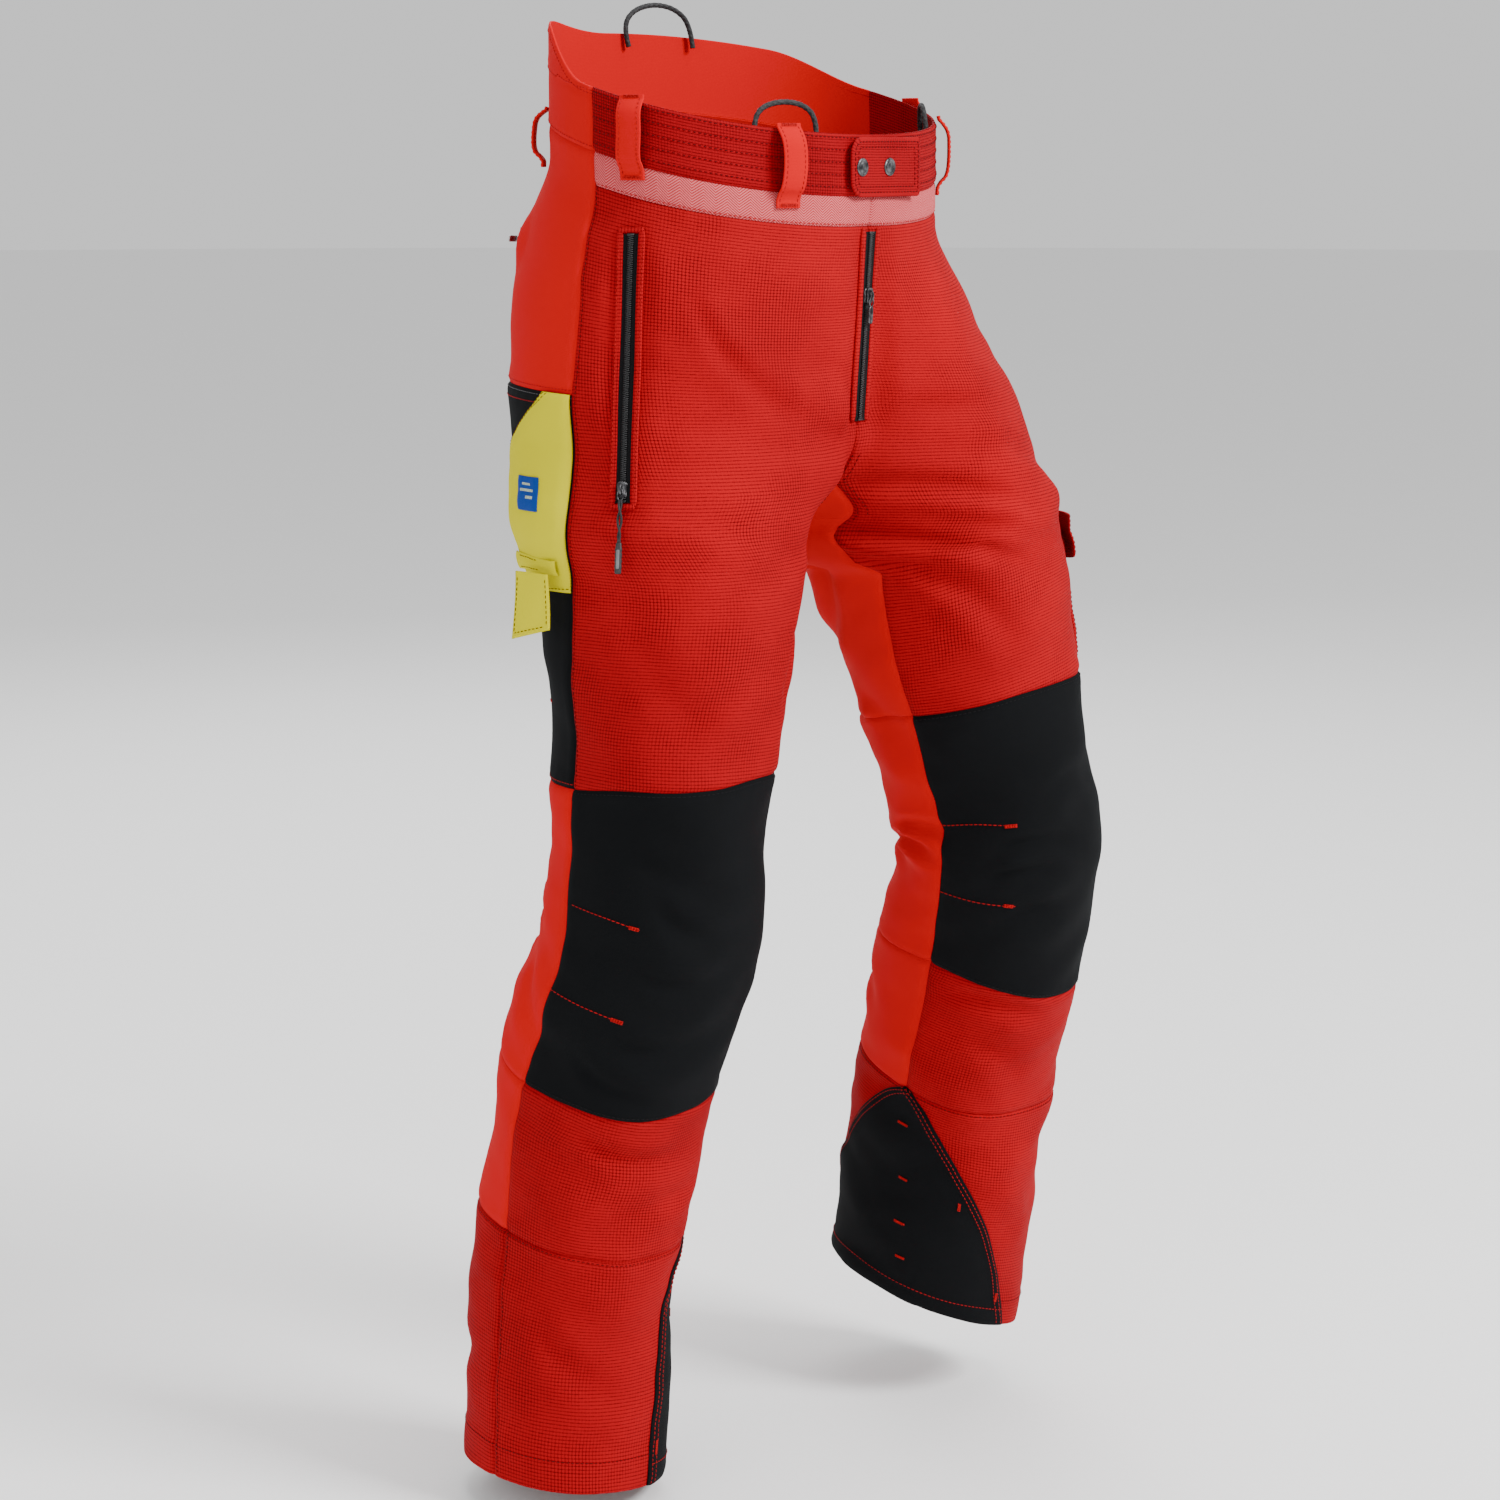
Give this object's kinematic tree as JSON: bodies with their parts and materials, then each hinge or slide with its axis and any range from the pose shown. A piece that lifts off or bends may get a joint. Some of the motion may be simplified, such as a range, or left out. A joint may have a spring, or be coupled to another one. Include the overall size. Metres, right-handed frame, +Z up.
{
  "type": "chainsaw protection trousers",
  "caption": "Waist-to-ankle chainsaw protection trousers with a raised back, zipped pockets, padded cut-resistant fronts, articulated knees and inner boot-guard patches.",
  "frame": {"origin": "middle of the waist opening, level with the waist line at the sides", "axes": "+X to the wearer's left, -Y to the front, +Z up"},
  "size_m": [0.5436, 0.3499, 1.1658],
  "materials": {
    "ripstop": "dark red textured protective weave",
    "stretch": "bright red smooth stretch fabric",
    "herringbone": "pink herringbone tape",
    "black_fabric": "black hard-wearing fabric",
    "hi_vis": "fluorescent yellow fabric",
    "cut_pad": "quilted cut-protection fibre pad",
    "lining": "thin woven lining",
    "zip_black": "black coil zip",
    "slider_metal": "plated zip slider and snap metal",
    "pull_black": "black moulded pull",
    "cord_black": "black braided cord"
  },
  "bodies": {
    "trousers": {"waistband_right": "ripstop", "waistband_left": "ripstop", "high_back_panel": "stretch", "yoke_strips": "herringbone", "right_front_panel": "ripstop", "left_front_panel": "ripstop", "right_hip_panel": "stretch", "left_hip_panel": "stretch", "right_back_thigh_panel": "stretch", "left_back_thigh_panel": "stretch", "right_side_panel": "black_fabric", "left_side_panel": "black_fabric", "right_knee_panel": "black_fabric", "left_knee_panel": "black_fabric", "right_knee_back_panel": "stretch", "left_knee_back_panel": "stretch", "right_thigh_cut_pad": "cut_pad", "left_thigh_cut_pad": "cut_pad", "right_knee_cut_pad": "cut_pad", "left_knee_cut_pad": "cut_pad", "right_thigh_lining": "lining", "left_thigh_lining": "lining", "front_pocket_bags": "lining", "back_pocket_bag": "lining", "fly_zip": "zip_black", "right_front_pocket_zip": "zip_black", "left_front_pocket_zip": "zip_black", "back_pocket_zip": "zip_black", "snap_studs": "slider_metal", "belt_loops": "stretch", "first_aid_pouch": "hi_vis", "pouch_strap": "hi_vis", "cargo_pocket": "ripstop"},
    "right_shin": {"right_shin_front_panel": "ripstop", "right_calf_panel": "stretch", "right_lower_calf_panel": "ripstop", "right_kick_patch": "black_fabric", "right_shin_cut_pad": "cut_pad", "right_shin_lining": "lining"},
    "left_shin": {"left_shin_front_panel": "ripstop", "left_calf_panel": "stretch", "left_lower_calf_panel": "ripstop", "left_kick_patch": "black_fabric", "left_shin_cut_pad": "cut_pad", "left_shin_lining": "lining"},
    "fly_slider": {"fly_slider": "slider_metal"},
    "fly_pull": {"fly_pull": "slider_metal"},
    "right_front_pocket_slider": {"right_front_pocket_slider": "slider_metal"},
    "right_front_pocket_pull": {"right_front_pocket_pull": "pull_black"},
    "left_front_pocket_slider": {"left_front_pocket_slider": "slider_metal"},
    "left_front_pocket_pull": {"left_front_pocket_pull": "pull_black"},
    "back_pocket_slider": {"back_pocket_slider": "slider_metal"},
    "back_pocket_pull": {"back_pocket_pull": "slider_metal"},
    "waist_tab": {"waist_tab": "ripstop", "snap_caps": "slider_metal"},
    "pouch_tail": {"pouch_tail": "hi_vis"},
    "cargo_flap": {"cargo_flap": "ripstop"},
    "back_brace_loop": {"back_brace_loop": "cord_black"},
    "right_brace_loop": {"right_brace_loop": "cord_black"},
    "left_brace_loop": {"left_brace_loop": "cord_black"}
  },
  "joints": [
    {"name": "right_knee", "type": "hinge", "parent": "trousers", "child": "right_shin", "pos_m": [-0.12, -0.002, -0.6], "axis": [1, 0, 0], "range_deg": [-18, 70], "deforming": ["right_knee_panel", "right_knee_back_panel", "right_knee_cut_pad"]},
    {"name": "left_knee", "type": "hinge", "parent": "trousers", "child": "left_shin", "pos_m": [0.193, -0.103, -0.555], "axis": [1, 0, 0], "range_deg": [-18, 70], "deforming": ["left_knee_panel", "left_knee_back_panel", "left_knee_cut_pad"]},
    {"name": "fly_zip_slide", "type": "slide", "parent": "trousers", "child": "fly_slider", "axis": [0, 0.0687, -0.9976], "range_m": [-0.038, 0.085]},
    {"name": "fly_pull_swing", "type": "hinge", "parent": "fly_slider", "child": "fly_pull", "pos_m": [0, -0.12154, -0.12103], "axis": [-1, 0, 0], "range_deg": [0, 150]},
    {"name": "right_front_pocket_zip_slide", "type": "slide", "parent": "trousers", "child": "right_front_pocket_slider", "axis": [-0.1575, -0.0906, -0.9834], "range_m": [-0.177, 0]},
    {"name": "right_front_pocket_pull_swing", "type": "hinge", "parent": "right_front_pocket_slider", "child": "right_front_pocket_pull", "pos_m": [-0.20336, -0.05002, -0.2551], "axis": [-0.3392, 0.9402, -0.0322], "range_deg": [0, 150]},
    {"name": "left_front_pocket_zip_slide", "type": "slide", "parent": "trousers", "child": "left_front_pocket_slider", "axis": [0.232, -0.3429, -0.9103], "range_m": [-0.183, 0]},
    {"name": "left_front_pocket_pull_swing", "type": "hinge", "parent": "left_front_pocket_slider", "child": "left_front_pocket_pull", "pos_m": [0.22093, -0.10146, -0.25045], "axis": [-0.4102, -0.883, 0.228], "range_deg": [0, 150]},
    {"name": "back_pocket_zip_slide", "type": "slide", "parent": "trousers", "child": "back_pocket_slider", "axis": [0.9387, 0.3432, -0.0339], "range_m": [0, 0.074]},
    {"name": "back_pocket_pull_swing", "type": "hinge", "parent": "back_pocket_slider", "child": "back_pocket_pull", "pos_m": [-0.11999, 0.12653, -0.08046], "axis": [-0.099, 0.1739, -0.9798], "range_deg": [0, 140]},
    {"name": "waist_tab_fold", "type": "hinge", "parent": "trousers", "child": "waist_tab", "pos_m": [0.05428, -0.12292, -0.0256], "axis": [0, 0, 1], "range_deg": [0, 110]},
    {"name": "cargo_flap_lift", "type": "hinge", "parent": "trousers", "child": "cargo_flap", "pos_m": [0.23645, -0.11242, -0.30223], "axis": [-0.2616, -0.9652, 0], "range_deg": [0, 120]},
    {"name": "pouch_tail_lift", "type": "hinge", "parent": "trousers", "child": "pouch_tail", "pos_m": [-0.21928, 0.02514, -0.32278], "axis": [0.0246, 0.9997, 0], "range_deg": [0, 130]},
    {"name": "back_brace_loop_fold", "type": "hinge", "parent": "trousers", "child": "back_brace_loop", "pos_m": [0.03193, 0.11716, 0.06546], "axis": [0.9911, -0.1328, 0], "range_deg": [0, 60]},
    {"name": "right_brace_loop_fold", "type": "hinge", "parent": "trousers", "child": "right_brace_loop", "pos_m": [-0.07935, -0.10073, -0.00419], "axis": [-0.7855, 0.6188, 0], "range_deg": [0, 38]},
    {"name": "left_brace_loop_fold", "type": "hinge", "parent": "trousers", "child": "left_brace_loop", "pos_m": [0.12707, -0.07258, -0.00287], "axis": [-0.496, -0.8683, 0], "range_deg": [0, 60]}
  ]
}
